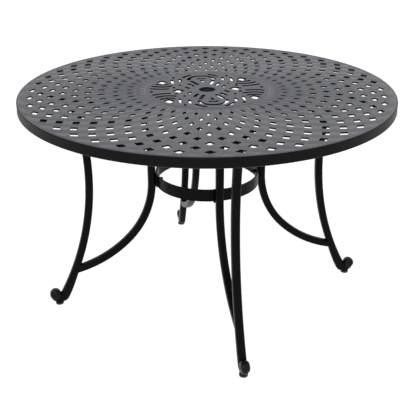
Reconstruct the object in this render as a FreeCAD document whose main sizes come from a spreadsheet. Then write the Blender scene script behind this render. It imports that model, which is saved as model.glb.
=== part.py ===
import FreeCAD, Part
import math
import os

V = FreeCAD.Vector
UP = V(0, 0, 1)
ORIGIN = V(0, 0, 0)

# Driving dimensions, in millimetres and degrees
SIZES = [
    ("table_height", 717.0),
    ("top_radius", 584.2),
    ("plate_thickness", 5.0),
    ("rim_depth", 30.0),
    ("rim_wall", 4.0),
    ("rim_edge_radius", 2.5),
    ("top_turn", 3.0),
    ("medallion_radius", 193.0),
    ("medallion_border", 13.0),
    ("umbrella_hole_radius", 26.0),
    ("collar_wall", 4.0),
    ("collar_depth", 30.0),
    ("band_pairs", 44.0),
    ("first_row_margin", 49.0),
    ("last_row_margin", 39.36),
    ("row_count", 9.0),
    ("inner_hole_side", 17.0),
    ("outer_hole_side", 21.5),
    ("rib_width", 5.0),
    ("rib_clearance", 1.0),
    ("post_depth", 25.0),
    ("post_width", 26.0),
    ("post_corner", 7.0),
    ("post_top_lead", 10.28),
    ("post_waist_height", 461.2),
    ("post_bow_radius", 890.0),
    ("curl_radius", 17.5),
    ("scroll_radius", 18.5),
    ("scroll_width", 28.0),
    ("scroll_edge_radius", 3.0),
    ("brace_depth", 25.0),
    ("brace_width", 25.0),
    ("brace_corner", 7.0),
    ("brace_bend_height", 421.4),
    ("brace_bend_radius", 277.8),
    ("brace_bend_angle", 43.7),
    ("brace_sweep_radius", 367.7),
    ("hoop_radius", 169.0),
    ("hoop_bar", 5.0),
    ("hoop_depth", 39.0),
    ("hoop_level", 427.5),
    ("saddle_thickness", 2.8),
    ("saddle_width", 32.0),
    ("saddle_height", 46.0),
    ("ring_stud_radius", 4.0),
    ("ring_stud_grip", 14.0),
    ("ring_washer_radius", 8.0),
    ("ring_washer_thickness", 1.5),
    ("cap_nut_flats", 13.0),
    ("cap_nut_hex_height", 6.5),
    ("cap_nut_height", 16.0),
    ("cap_nut_crown", 5.0),
    ("cap_nut_shoulder", 0.4),
    ("ring_stud_end_gap", 1.0),
    ("mount_plate_thickness", 5.0),
    ("mount_plate_corner", 6.0),
    ("post_plate_width", 36.0),
    ("brace_plate_length", 62.0),
    ("brace_plate_back", 4.0),
    ("plate_edge_margin", 14.0),
    ("boss_radius", 8.0),
    ("boss_height", 6.0),
    ("brace_bolt_margin", 16.0),
    ("brace_bolt_spread", 20.0),
    ("bolt_radius", 3.0),
    ("bolt_grip", 4.5),
    ("bolt_end_gap", 0.5),
    ("bolt_head_flats", 10.0),
    ("bolt_head_height", 4.0),
    ("bolt_washer_radius", 6.0),
    ("bolt_washer_thickness", 1.2),
    ("bolt_clearance", 0.3),
    ("pad_radius", 13.5),
    ("pad_height", 8.0),
    ("pad_edge_radius", 1.5),
    ("foot_stud_radius", 4.0),
    ("foot_stud_length", 25.5),
    ("foot_stud_tip_radius", 0.8),
    ("foot_head_radius", 6.5),
    ("foot_head_height", 3.0),
    ("foot_head_level", 2.5),
    ("insert_radius", 6.5),
    ("insert_length", 18.0),
    ("foot_boss_radius", 10.0),
    ("foot_well_depth", 5.0),
    ("running_clearance", 0.1),
]

document = FreeCAD.newDocument("UmbrellaTable")
sheet = document.addObject("Spreadsheet::Sheet", "Sizes")
for row, (alias, value) in enumerate(SIZES, start=1):
    sheet.set("A%d" % row, alias)
    sheet.set("B%d" % row, str(value))
    sheet.setAlias("B%d" % row, alias)
document.recompute()

nodes = []


def size(alias):
    return float(sheet.get(alias))


def node(feature, label):
    feature.Label = label
    nodes.append(feature)
    return feature


def bind(feature, expressions):
    for name, expression in expressions.items():
        feature.setExpression(name, expression)
    return feature


def solid(shape, name):
    feature = document.addObject("Part::Feature", name)
    feature.Shape = shape
    return feature


# Outline helpers: an outline is a list of (x, y, corner radius)

def outline_edges(corners):
    count = len(corners)
    turns = []
    for index in range(count):
        before = V(corners[index - 1][0], corners[index - 1][1], 0)
        here = V(corners[index][0], corners[index][1], 0)
        after = V(corners[(index + 1) % count][0], corners[(index + 1) % count][1], 0)
        radius = corners[index][2]
        if radius == 0:
            turns.append((here, None, here))
            continue
        back = (before - here).normalize()
        ahead = (after - here).normalize()
        half_angle = back.getAngle(ahead) / 2
        inward = (back + ahead).normalize()
        tangent = radius / math.tan(half_angle)
        middle = here + inward * (radius / math.sin(half_angle) - radius)
        turns.append((here + back * tangent, middle, here + ahead * tangent))
    edges = []
    for index, (start, middle, end) in enumerate(turns):
        if middle is not None:
            edges.append(Part.Arc(start, middle, end))
        following = turns[(index + 1) % count][0]
        if end.distanceToPoint(following) > 1e-6:
            edges.append(Part.LineSegment(end, following))
    return edges


def outline_wire(corners):
    return Part.Wire([edge.toShape() for edge in outline_edges(corners)])


def rounded_rectangle(length, width, corner):
    x = length / 2
    y = width / 2
    return [(-x, -y, corner), (x, -y, corner), (x, y, corner), (-x, y, corner)]


def origin_plane(body, role):
    return next(item for item in body.Origin.OriginFeatures if item.Role == role)


def sketch_on(body, role, name, geometry, offset=None):
    sketch = body.newObject("Sketcher::SketchObject", name)
    sketch.AttachmentSupport = [(origin_plane(body, role), "")]
    sketch.MapMode = "FlatFace"
    if offset is not None:
        sketch.AttachmentOffset = offset
    sketch.addGeometry(geometry, False)
    return sketch


def circle(x, y, radius):
    return Part.Circle(V(x, y, 0), UP, radius)


def arc(centre_x, centre_y, radius, start, end):
    return Part.ArcOfCircle(circle(centre_x, centre_y, radius), start, end)


def revolved(name, corners):
    body = document.addObject("PartDesign::Body", name)
    profile = sketch_on(body, "XZ_Plane", name + "_profile", outline_edges(corners))
    turning = body.newObject("PartDesign::Revolution", name + "_turning")
    turning.Profile = profile
    turning.ReferenceAxis = (origin_plane(body, "Z_Axis"), [""])
    turning.Angle = 360
    return body


def turned(shape, azimuth):
    copy = shape.copy()
    copy.rotate(ORIGIN, UP, azimuth)
    return copy


# Levels and places that follow from the driving dimensions

plate_bottom = size("table_height") - size("plate_thickness")
boss_bottom = plate_bottom - size("boss_height")
leg_top = boss_bottom - size("mount_plate_thickness")
top_turn = -size("top_turn")

LEGS = [("front", -90.0), ("right", 0.0), ("back", 90.0), ("left", 180.0)]

# Lattice layout: rows of holes from the medallion out to the rim, each between two families of
# bands that are circle arcs through the table's axis

row_step = math.pi / size("band_pairs")
pitch = math.degrees(2 * row_step)
first_row = size("medallion_radius") + size("first_row_margin")
last_row = size("top_radius") - size("last_row_margin")
rows_turn = (size("row_count") - 1) * row_step
first_row_angle = math.atan((last_row / first_row - math.cos(rows_turn)) / math.sin(rows_turn))
band_bow_radius = first_row / (2 * math.cos(first_row_angle))


def row_angle(row):
    return first_row_angle - row * row_step


def row_radius(row):
    return 2 * band_bow_radius * math.cos(row_angle(row))


# Bolt places in a leg's own frame, with X pointing outward from the table's axis

INNER_BOLT_ROW = 3
OUTER_BOLT_ROW = 5


def turned_point(point, azimuth):
    return FreeCAD.Rotation(UP, azimuth).multVec(point)


def post_bolts():
    return [
        turned_point(V(row_radius(INNER_BOLT_ROW), 0, 0), top_turn + pitch),
        turned_point(V(row_radius(OUTER_BOLT_ROW), 0, 0), top_turn),
    ]


def brace_bolts():
    reach = size("medallion_radius") + size("brace_bolt_margin")
    return [V(reach, side * size("brace_bolt_spread"), 0) for side in (-1, 1)]


def all_bolts():
    places = []
    for name, azimuth in LEGS:
        for place in post_bolts() + brace_bolts():
            places.append(turned_point(place, azimuth))
    return places


# Leg layout: the post's top stands near the middle of its two bolts

post_top = (post_bolts()[0].x + post_bolts()[1].x) / 2 + size("post_top_lead")
waist_drop = leg_top - size("post_waist_height")
curl_height = size("pad_height") + size("post_depth") / 2 + size("curl_radius")
bow_centre = post_top + math.sqrt(size("post_bow_radius") ** 2 - waist_drop ** 2)
bow_to_curl = size("post_bow_radius") - size("curl_radius")
curl_drop = (size("post_waist_height") - curl_height) / bow_to_curl
foot_radius = bow_centre - bow_to_curl * math.sqrt(1 - curl_drop ** 2)
foot_reach = size("curl_radius") + size("post_depth") / 2
scroll_centre = foot_radius + foot_reach - size("scroll_radius")

brace_radius = size("hoop_radius") + size("saddle_thickness") + size("brace_depth") / 2


# Mount plate places in a leg's own frame: the plate's middle, length, width and lean

def post_plate_layout():
    inner, outer = post_bolts()
    along = outer - inner
    length = along.Length + 2 * size("plate_edge_margin")
    lean = math.degrees(math.atan2(along.y, along.x))
    return (inner + outer) / 2, length, size("post_plate_width"), lean


def brace_plate_layout():
    inner = brace_radius - size("brace_depth") / 2 - size("brace_plate_back")
    outer = brace_bolts()[0].x + size("plate_edge_margin")
    return V((inner + outer) / 2, 0, 0), outer - inner, size("brace_plate_length"), 0


# Ribs under every fourth band of one family, clear of the legs and notched round their plates

FIRST_RIB_BAND = 3
BANDS_PER_RIB = 4

rib_bottom = leg_top + size("rib_clearance")


def plate_notches():
    gap = size("rib_clearance")
    height = boss_bottom + gap - rib_bottom
    notches = []
    for middle, length, width, lean in (post_plate_layout(), brace_plate_layout()):
        corner = V(-length / 2 - gap, -width / 2 - gap, rib_bottom)
        room = Part.makeBox(length + 2 * gap, width + 2 * gap, height, corner)
        room.rotate(ORIGIN, UP, lean)
        room.translate(middle)
        notches += [turned(room, azimuth) for name, azimuth in LEGS]
    return notches


def lattice_ribs():
    foot = V(0, 0, rib_bottom)
    height = plate_bottom - rib_bottom
    bow_middle = foot + V(band_bow_radius, 0, 0)
    ring = Part.makeCylinder(band_bow_radius + size("rib_width") / 2, height, bow_middle)
    within = Part.makeCylinder(band_bow_radius - size("rib_width") / 2, height, bow_middle)
    half_field = Part.makeCylinder(size("top_radius") - size("rim_wall"), height, foot, UP, 180)
    medallion_room = Part.makeCylinder(size("medallion_radius"), height, foot)
    rib = ring.cut([within, medallion_room]).common(half_field)
    start = -90 + top_turn - math.degrees(first_row_angle)
    notches = plate_notches()
    ribs = []
    for band in range(FIRST_RIB_BAND, round(size("band_pairs")), BANDS_PER_RIB):
        ribs.append(turned(rib, start + pitch * (band + 0.5)).cut(notches))
    return ribs


# Table top: the lattice, whose holes lie between two crossing families of bowed bands

def lattice_hole(row):
    share = row / (size("row_count") - 1)
    side = size("inner_hole_side") * (1 - share) + size("outer_hole_side") * share
    radial = side * math.sin(row_angle(row))
    across = side * math.cos(row_angle(row))
    middle = row_radius(row)
    corners = [
        V(middle - radial, 0, 0),
        V(middle, across, 0),
        V(middle + radial, 0, 0),
        V(middle, -across, 0),
        V(middle - radial, 0, 0),
    ]
    return Part.makePolygon(corners)


def lattice_face():
    inner = Part.Wire(Part.makeCircle(size("medallion_radius")))
    inner.reverse()
    wires = [Part.Wire(Part.makeCircle(size("top_radius") - size("rim_wall"))), inner]
    for row in range(round(size("row_count"))):
        hole = lattice_hole(row)
        for place in range(round(size("band_pairs"))):
            azimuth = -90 + top_turn + pitch * (place + (row % 2) / 2)
            wires.append(turned(hole, azimuth))
    return Part.Face(wires)


def lattice_field():
    plate = lattice_face().extrude(V(0, 0, size("plate_thickness")))
    plate.translate(V(0, 0, plate_bottom))
    bosses = []
    for place in all_bolts():
        foot = place + V(0, 0, boss_bottom)
        bosses.append(Part.makeCylinder(size("boss_radius"), size("boss_height"), foot))
    field = plate.fuse(bosses + lattice_ribs())
    holes = []
    depth = size("bolt_grip") + size("bolt_end_gap")
    for place in all_bolts():
        foot = place + V(0, 0, boss_bottom)
        holes.append(Part.makeCylinder(size("bolt_radius"), depth, foot))
    return field.cut(holes)


node(solid(lattice_field(), "LatticeField"), "lattice_field")


# Centre medallion: a disc pierced by slots, drawn for one quarter and mirrored to the others.
# The pattern is drawn on a disc of PATTERN_RADIUS and grows with the medallion.

PATTERN_RADIUS = 193.0
SLOT_END_SHARE = 0.49

# Straight slots: centre x and y, length, width, lean from the X axis
RAY_BESIDE_PALMETTE = (28, 79.5, 52, 12, 69)
RAY_MIDDLE = (42.5, 56, 37, 11, 63)
RAY_BESIDE_DIAMOND = (58, 27.5, 26, 10, 63)
DIAMOND_EDGE_BAR = (100, 34, 18, 9, 90)
INNER_PALMETTE_BAR = (70, 116.5, 36, 10, 90)
OUTER_PALMETTE_BAR = (97, 105, 46, 10, 90)
BORDER_BAR = (88.5, 148, 17, 9, 90)
SIDE_BORDER_BAR = (174.5, 0, 16, 9, 90)

# Diamonds: centre x and y, size across and along, corner radius
SMALL_DIAMOND = (78.5, 58.5, 9, 21, 1.5)
SIDE_DIAMOND = (90, 0, 42, 42, 4)
FAN_DIAMOND = (131, 102, 36, 48, 6)

# Palmette, centred on the Y axis: radius, width, start and end angle of each arc
PALMETTE_CENTRE = 116.0
PALMETTE_ARCS = [
    (42, 12, 2, 178),
    (64, 10.5, 29, 61),
    (64, 10.5, 119, 151),
    (14, 9, 30, 150),
]
PALMETTE_LEAF = (0, 80, 33, 13, 90)

# Fan in the quarter's corner: the same for its arcs
FAN_CENTRE = (132.0, 103.0)
FAN_ARCS = [
    (30, 11, -128, -48),
    (54, 11.5, -118, -51),
    (79, 11, -98, -59),
]


def straight_slot(x, y, length, width, angle):
    corners = rounded_rectangle(length, width, width * SLOT_END_SHARE)
    wire = outline_wire(corners)
    wire.rotate(ORIGIN, UP, angle)
    wire.translate(V(x, y, 0))
    return Part.Face(wire)


def arc_slot(x, y, radius, width, start, end):
    turn = math.radians(end - start)
    outer = radius + width / 2
    inner = radius - width / 2

    def at(reach, angle):
        return V(x + reach * math.cos(angle), y + reach * math.sin(angle), 0)

    first = math.radians(start)
    last = first + turn
    middle = first + turn / 2
    cap = width / 2 / radius
    edges = [
        Part.Arc(at(outer, first), at(outer, middle), at(outer, last)),
        Part.Arc(at(outer, last), at(radius, last + cap), at(inner, last)),
        Part.Arc(at(inner, last), at(inner, middle), at(inner, first)),
        Part.Arc(at(inner, first), at(radius, first - cap), at(outer, first)),
    ]
    return Part.Face(Part.Wire([edge.toShape() for edge in edges]))


def teardrop(x, y, length, width, angle):
    radius = width / 2
    middle = length - radius
    slope = math.acos(radius / middle)
    touch_x = middle - radius * math.cos(slope)
    touch_y = radius * math.sin(slope)
    below = V(touch_x, -touch_y, 0)
    above = V(touch_x, touch_y, 0)
    edges = [
        Part.LineSegment(ORIGIN, below),
        Part.Arc(below, V(length, 0, 0), above),
        Part.LineSegment(above, ORIGIN),
    ]
    wire = Part.Wire([edge.toShape() for edge in edges])
    wire.rotate(ORIGIN, UP, angle)
    wire.translate(V(x, y, 0))
    return Part.Face(wire)


def diamond(x, y, across, along, corner):
    corners = [
        (-across / 2, 0, corner),
        (0, -along / 2, corner),
        (across / 2, 0, corner),
        (0, along / 2, corner),
    ]
    wire = outline_wire(corners)
    wire.translate(V(x, y, 0))
    return Part.Face(wire)


def palmette_slots():
    arcs = [arc_slot(0, PALMETTE_CENTRE, *values) for values in PALMETTE_ARCS]
    return arcs + [teardrop(*PALMETTE_LEAF)]


def quarter_slots():
    bars = [
        RAY_BESIDE_PALMETTE,
        RAY_MIDDLE,
        RAY_BESIDE_DIAMOND,
        DIAMOND_EDGE_BAR,
        INNER_PALMETTE_BAR,
        OUTER_PALMETTE_BAR,
        BORDER_BAR,
    ]
    slots = [straight_slot(*values) for values in bars]
    slots += [arc_slot(*FAN_CENTRE, *values) for values in FAN_ARCS]
    return slots + [diamond(*FAN_DIAMOND), diamond(*SMALL_DIAMOND)]


def medallion_openings():
    across = V(1, 0, 0)
    along = V(0, 1, 0)
    openings = []
    for slot in quarter_slots():
        right = slot.mirror(ORIGIN, across)
        openings += [slot, right, slot.mirror(ORIGIN, along), right.mirror(ORIGIN, along)]
    for slot in palmette_slots():
        openings += [slot, slot.mirror(ORIGIN, along)]
    for slot in (diamond(*SIDE_DIAMOND), straight_slot(*SIDE_BORDER_BAR)):
        openings += [slot, slot.mirror(ORIGIN, across)]
    for opening in openings:
        opening.scale(size("medallion_radius") / PATTERN_RADIUS)
    return openings


def centre_medallion():
    thickness = size("plate_thickness")
    border = size("medallion_border")
    disc = Part.makeCylinder(size("medallion_radius"), thickness)
    within = Part.makeCylinder(size("medallion_radius") - border, thickness)
    cutters = [opening.extrude(V(0, 0, thickness)) for opening in medallion_openings()]
    pierced = disc.cut([cutter.common(within) for cutter in cutters])
    hole = Part.makeCylinder(size("umbrella_hole_radius"), thickness)
    pierced = pierced.cut(hole)
    pierced.rotate(ORIGIN, UP, top_turn)
    pierced.translate(V(0, 0, plate_bottom))
    return pierced


node(solid(centre_medallion(), "CentreMedallion"), "centre_medallion")


# Rim: a turned band round the lattice, flush with its top face

def rim_outline():
    outer = size("top_radius")
    inner = outer - size("rim_wall")
    bottom = size("table_height") - size("rim_depth")
    edge = size("rim_edge_radius")
    return [
        (inner, bottom, 0),
        (outer, bottom, edge / 2),
        (outer, size("table_height"), edge),
        (inner, size("table_height"), 0),
    ]


node(revolved("RimBand", rim_outline()), "rim_band")


# Umbrella collar: the tube under the hole, which guides the pole

def collar_outline():
    inner = size("umbrella_hole_radius")
    outer = inner + size("collar_wall")
    bottom = plate_bottom - size("collar_depth")
    return [
        (inner, bottom, 0),
        (outer, bottom, 0),
        (outer, plate_bottom, 0),
        (inner, plate_bottom, 0),
    ]


node(revolved("UmbrellaCollar", collar_outline()), "umbrella_collar")


# Ring hoop: the flat bar rolled into a ring that ties the four braces together

def ring_hoop():
    body = document.addObject("PartDesign::Body", "RingHoop")
    rings = [
        circle(0, 0, size("hoop_radius")),
        circle(0, 0, size("hoop_radius") - size("hoop_bar")),
    ]
    profile = sketch_on(body, "XY_Plane", "RingHoop_profile", rings)
    bar = body.newObject("PartDesign::Pad", "RingHoop_bar")
    bar.Profile = profile
    bind(bar, {"Length": "Sizes.hoop_depth"})
    lift = size("hoop_depth") / 2
    bore = sketch_on(body, "YZ_Plane", "RingHoop_bore", [circle(0, lift, stud_hole_radius())])
    hole = body.newObject("PartDesign::Pocket", "RingHoop_hole")
    hole.Profile = bore
    hole.Type = "ThroughAll"
    hole.Reversed = True
    holes = body.newObject("PartDesign::PolarPattern", "RingHoop_holes")
    holes.Originals = [hole]
    holes.Axis = (origin_plane(body, "Z_Axis"), [""])
    holes.Angle = 360
    holes.Occurrences = len(LEGS)
    body.Tip = holes
    bind(body, {"Placement.Base.z": "Sizes.hoop_level - Sizes.hoop_depth / 2"})
    return body


def stud_hole_radius():
    return size("ring_stud_radius") + size("bolt_clearance")


node(ring_hoop(), "ring_hoop")


# Legs: a bowed post ending in a rolled scroll, and a brace that sweeps from hoop to post

def bow_point(height):
    drop = size("post_waist_height") - height
    return V(bow_centre - math.sqrt(size("post_bow_radius") ** 2 - drop ** 2), 0, height)


def section_at(start, centre):
    across = (centre - start).normalize()
    lean = math.degrees(math.atan2(-across.z, across.x))
    return FreeCAD.Placement(start, FreeCAD.Rotation(V(0, 1, 0), lean))


def piped(body, name, route, section, place):
    path = sketch_on(body, "XZ_Plane", name + "_path", route)
    profile = sketch_on(body, "XY_Plane", name + "_section", outline_edges(section), place)
    pipe = body.newObject("PartDesign::AdditivePipe", name + "_pipe")
    pipe.Profile = profile
    pipe.Spine = path
    return pipe


def post_body(name):
    body = document.addObject("PartDesign::Body", name)
    spare = size("post_depth")
    start = bow_point(leg_top + spare)
    centre = V(bow_centre, 0, size("post_waist_height"))
    start_angle = math.atan2(start.z - centre.z, start.x - centre.x)
    curl_centre = V(foot_radius, 0, curl_height)
    end_angle = math.atan2(curl_centre.z - centre.z, curl_centre.x - centre.x) + 2 * math.pi
    route = [
        arc(centre.x, centre.z, size("post_bow_radius"), start_angle, end_angle),
        arc(curl_centre.x, curl_centre.z, size("curl_radius"), end_angle, 2 * math.pi),
    ]
    section = rounded_rectangle(size("post_depth"), size("post_width"), size("post_corner"))
    disc = sketch_on(body, "XZ_Plane", name + "_disc",
                     [circle(scroll_centre, curl_height, size("scroll_radius"))])
    scroll = body.newObject("PartDesign::Pad", name + "_scroll")
    scroll.Profile = disc
    scroll.SideType = "Symmetric"
    bind(scroll, {"Length": "Sizes.scroll_width"})
    document.recompute()
    rims = ["Edge%d" % (index + 1) for index, edge in enumerate(scroll.Shape.Edges)
            if edge.Closed and type(edge.Curve).__name__ == "Circle"]
    rounding = body.newObject("PartDesign::Fillet", name + "_rounding")
    rounding.Base = (scroll, rims)
    bind(rounding, {"Radius": "Sizes.scroll_edge_radius"})
    piped(body, name, route, section, section_at(start, centre))
    return body


def cut_to_leg(body, label, azimuth, additions, removals):
    document.recompute()
    shape = body.Shape
    if additions:
        shape = shape.fuse(additions)
    room = size("top_radius")
    above = Part.makeBox(room, room, room, V(0, -room / 2, leg_top))
    shape = shape.cut([above] + removals).removeSplitter()
    feature = solid(shape, label)
    feature.Placement = FreeCAD.Placement(ORIGIN, FreeCAD.Rotation(UP, azimuth))
    return node(feature, label)


def foot_well():
    bore = Part.makeCylinder(size("insert_radius"), size("insert_length"),
                             V(foot_radius, 0, size("pad_height")))
    relief_radius = size("foot_stud_radius") + size("bolt_clearance")
    depth = size("insert_length") + size("foot_well_depth")
    relief = Part.makeCylinder(relief_radius, depth, V(foot_radius, 0, size("pad_height")))
    return [bore, relief]


def post(name, azimuth):
    body = post_body(name + "_post_casting")
    boss = Part.makeCylinder(size("foot_boss_radius"), size("insert_length"),
                             V(foot_radius, 0, size("pad_height")))
    return cut_to_leg(body, name + "_post", azimuth, [boss], foot_well())


def circles_meet(centre, radius, other, other_radius):
    gap = other - centre
    along = (radius ** 2 - other_radius ** 2 + gap.Length ** 2) / (2 * gap.Length)
    aside = math.sqrt(radius ** 2 - along ** 2)
    direction = gap.normalize()
    square = V(direction.z, 0, -direction.x)
    return centre + direction * along + square * aside


def brace_body(name):
    body = document.addObject("PartDesign::Body", name)
    bend = math.radians(size("brace_bend_angle"))
    bend_radius = size("brace_bend_radius")
    sweep_radius = size("brace_sweep_radius")
    bend_centre = V(brace_radius + bend_radius, 0, size("brace_bend_height"))
    outward = V(math.cos(bend), 0, math.sin(bend))
    sweep_centre = bend_centre + outward * (sweep_radius - bend_radius)
    post_centre = V(bow_centre, 0, size("post_waist_height"))
    joint = circles_meet(sweep_centre, sweep_radius, post_centre, size("post_bow_radius"))
    joint_angle = math.atan2(joint.z - sweep_centre.z, joint.x - sweep_centre.x) + 2 * math.pi
    start = V(brace_radius, 0, leg_top)
    bend_start = V(brace_radius, 0, size("brace_bend_height"))
    route = [
        Part.LineSegment(V(start.x, start.z, 0), V(bend_start.x, bend_start.z, 0)),
        arc(bend_centre.x, bend_centre.z, bend_radius, math.pi, math.pi + bend),
        arc(sweep_centre.x, sweep_centre.z, sweep_radius, math.pi + bend, joint_angle),
    ]
    section = rounded_rectangle(size("brace_depth"), size("brace_width"), size("brace_corner"))
    piped(body, name, route, section, FreeCAD.Placement(start, FreeCAD.Rotation()))
    return body


def brace(name, azimuth, post_shape):
    body = brace_body(name + "_brace_casting")
    grip_start = V(brace_radius - size("brace_depth"), 0, size("hoop_level"))
    grip = size("brace_depth") / 2 + size("ring_stud_grip")
    thread = Part.makeCylinder(size("ring_stud_radius"), grip, grip_start, V(1, 0, 0))
    return cut_to_leg(body, name + "_brace", azimuth, [], [turned(post_shape, -azimuth), thread])


# Mount plates on top of each post and brace, bolted up into the bosses of the top

def bolt_holes(places, bottom, height):
    radius = size("bolt_radius") + size("bolt_clearance")
    return [Part.makeCylinder(radius, height, place + V(0, 0, bottom)) for place in places]


def mount_plate(label, azimuth, layout, places):
    middle, length, width, lean = layout
    wire = outline_wire(rounded_rectangle(length, width, size("mount_plate_corner")))
    plate = Part.Face(wire).extrude(V(0, 0, size("mount_plate_thickness")))
    plate.rotate(ORIGIN, UP, lean)
    plate.translate(middle + V(0, 0, leg_top))
    plate = plate.cut(bolt_holes(places, leg_top, size("mount_plate_thickness")))
    feature = solid(plate, label)
    feature.Placement = FreeCAD.Placement(ORIGIN, FreeCAD.Rotation(UP, azimuth))
    return node(feature, label)


# Ring saddle: the pad between the round hoop and the flat face of a brace

def ring_saddle(name, azimuth):
    face = size("hoop_radius") + size("saddle_thickness")
    width = size("saddle_width")
    height = size("saddle_height")
    bottom = size("hoop_level") - height / 2
    block = Part.makeBox(width, width, height, V(face - width, -width / 2, bottom))
    ring = Part.makeCylinder(size("hoop_radius"), height, V(0, 0, bottom))
    hole = Part.makeCylinder(stud_hole_radius(), width, V(face - width, 0, size("hoop_level")),
                             V(1, 0, 0))
    feature = solid(block.cut([ring, hole]), name + "_ring_saddle")
    feature.Placement = FreeCAD.Placement(ORIGIN, FreeCAD.Rotation(UP, azimuth))
    return node(feature, name + "_ring_saddle")


# Levelling foot: a threaded insert in the scroll, a stud, and the pad that turns on its head

def standing(body, azimuth):
    place = turned_point(V(foot_radius, 0, 0), azimuth)
    body.Placement = FreeCAD.Placement(place, FreeCAD.Rotation(UP, azimuth))
    return body


def threaded_insert(name, azimuth):
    bore = size("foot_stud_radius") + size("running_clearance") / 2
    bottom = size("pad_height")
    top = bottom + size("insert_length")
    corners = [
        (bore, bottom, 0),
        (size("insert_radius"), bottom, 0),
        (size("insert_radius"), top, 0),
        (bore, top, 0),
    ]
    label = name + "_threaded_insert"
    return node(standing(revolved(label + "_bush", corners), azimuth), label)


def leveller_stud(name, azimuth):
    bottom = size("foot_head_level")
    neck = bottom + size("foot_head_height")
    top = bottom + size("foot_stud_length")
    shank = size("foot_stud_radius")
    head = size("foot_head_radius")
    corners = [
        (0, bottom, 0),
        (head, bottom, 0),
        (head, neck, 0),
        (shank, neck, 0),
        (shank, top, size("foot_stud_tip_radius")),
        (0, top, 0),
    ]
    label = name + "_leveller_stud"
    return node(standing(revolved(label + "_bolt", corners), azimuth), label)


def leveller_pad(name, azimuth):
    gap = size("running_clearance")
    floor = size("foot_head_level") - gap
    roof = size("foot_head_level") + size("foot_head_height") + gap
    pocket = size("foot_head_radius") + gap
    neck = size("foot_stud_radius") + gap
    edge = size("pad_edge_radius")
    corners = [
        (0, 0, 0),
        (size("pad_radius"), 0, edge),
        (size("pad_radius"), size("pad_height"), edge),
        (neck, size("pad_height"), 0),
        (neck, roof, 0),
        (pocket, roof, 0),
        (pocket, floor, 0),
        (0, floor, 0),
    ]
    label = name + "_leveller_pad"
    return node(standing(revolved(label + "_shoe", corners), azimuth), label)


for name, azimuth in LEGS:
    leg_post = post(name, azimuth)
    brace(name, azimuth, leg_post.Shape)
    mount_plate(name + "_post_plate", azimuth, post_plate_layout(), post_bolts())
    mount_plate(name + "_brace_plate", azimuth, brace_plate_layout(), brace_bolts())
    ring_saddle(name, azimuth)
    threaded_insert(name, azimuth)
    leveller_stud(name, azimuth)
    leveller_pad(name, azimuth)


# Fasteners: one group of identical solids for each kind

def hexagon(flats, height):
    corner = flats / math.sqrt(3)
    points = []
    for index in range(7):
        angle = math.radians(60 * index)
        points.append(V(corner * math.cos(angle), corner * math.sin(angle), 0))
    return Part.Face(Part.makePolygon(points)).extrude(V(0, 0, height))


def around_ring(shape, reach, label):
    copies = []
    for name, azimuth in LEGS:
        copy = shape.copy()
        copy.rotate(ORIGIN, V(0, 1, 0), -90)
        copy.translate(V(reach, 0, size("hoop_level")))
        copies.append(turned(copy, azimuth))
    return node(solid(Part.makeCompound(copies), label), label)


def under_top(shape, label):
    copies = []
    for place in all_bolts():
        copy = shape.copy()
        copy.translate(place)
        copies.append(copy)
    return node(solid(Part.makeCompound(copies), label), label)


hoop_inside = size("hoop_radius") - size("hoop_bar")
washer_seat = math.sqrt(hoop_inside ** 2 - size("ring_washer_radius") ** 2)
nut_seat = washer_seat - size("ring_washer_thickness")
stud_end = brace_radius - size("brace_depth") / 2 + size("ring_stud_grip")
nut_bore_depth = size("cap_nut_height") - size("cap_nut_crown")


def ring_stud():
    length = stud_end - nut_seat + nut_bore_depth - size("ring_stud_end_gap")
    return Part.makeCylinder(size("ring_stud_radius"), length)


def ring_washer():
    disc = Part.makeCylinder(size("ring_washer_radius"), size("ring_washer_thickness"))
    return disc.cut(Part.makeCylinder(stud_hole_radius(), size("ring_washer_thickness")))


def cap_nut():
    flats = size("cap_nut_flats")
    dome_radius = flats / 2 - size("cap_nut_shoulder")
    straight = size("cap_nut_height") - dome_radius
    hex_part = hexagon(flats, size("cap_nut_hex_height"))
    neck = Part.makeCylinder(dome_radius, straight)
    dome = Part.makeSphere(dome_radius, V(0, 0, straight))
    bore = Part.makeCylinder(size("ring_stud_radius"), nut_bore_depth)
    return hex_part.fuse([neck, dome]).cut(bore).removeSplitter()


around_ring(ring_stud(), stud_end, "ring_studs")
around_ring(ring_washer(), washer_seat, "ring_washers")
around_ring(cap_nut(), nut_seat, "ring_cap_nuts")

head_top = leg_top - size("bolt_washer_thickness")


def top_bolt():
    head = hexagon(size("bolt_head_flats"), size("bolt_head_height"))
    head.translate(V(0, 0, head_top - size("bolt_head_height")))
    length = boss_bottom + size("bolt_grip") - head_top
    shank = Part.makeCylinder(size("bolt_radius"), length, V(0, 0, head_top))
    return head.fuse(shank)


def top_washer():
    foot = V(0, 0, head_top)
    disc = Part.makeCylinder(size("bolt_washer_radius"), size("bolt_washer_thickness"), foot)
    hole_radius = size("bolt_radius") + size("bolt_clearance")
    return disc.cut(Part.makeCylinder(hole_radius, size("bolt_washer_thickness"), foot))


under_top(top_bolt(), "top_bolts")
under_top(top_washer(), "top_washers")

document.recompute()

# Every feature has to have worked, and every piece has to be sound, before anything is written

for feature in document.Objects:
    faults = [state for state in feature.State if state in ("Invalid", "Error")]
    if faults:
        raise RuntimeError("%s failed: %s" % (feature.Label, faults))

os.makedirs("parts", exist_ok=True)
for piece in nodes:
    shape = piece.Shape
    if shape.isNull() or not shape.isValid() or not shape.Solids:
        raise RuntimeError("%s is not a sound solid" % piece.Label)
    print("%-26s solids %3d  volume %12.1f" % (piece.Label, len(shape.Solids), shape.Volume))

for piece in nodes:
    piece.Shape.exportStep("parts/%s.step" % piece.Label)
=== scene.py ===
import math

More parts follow.
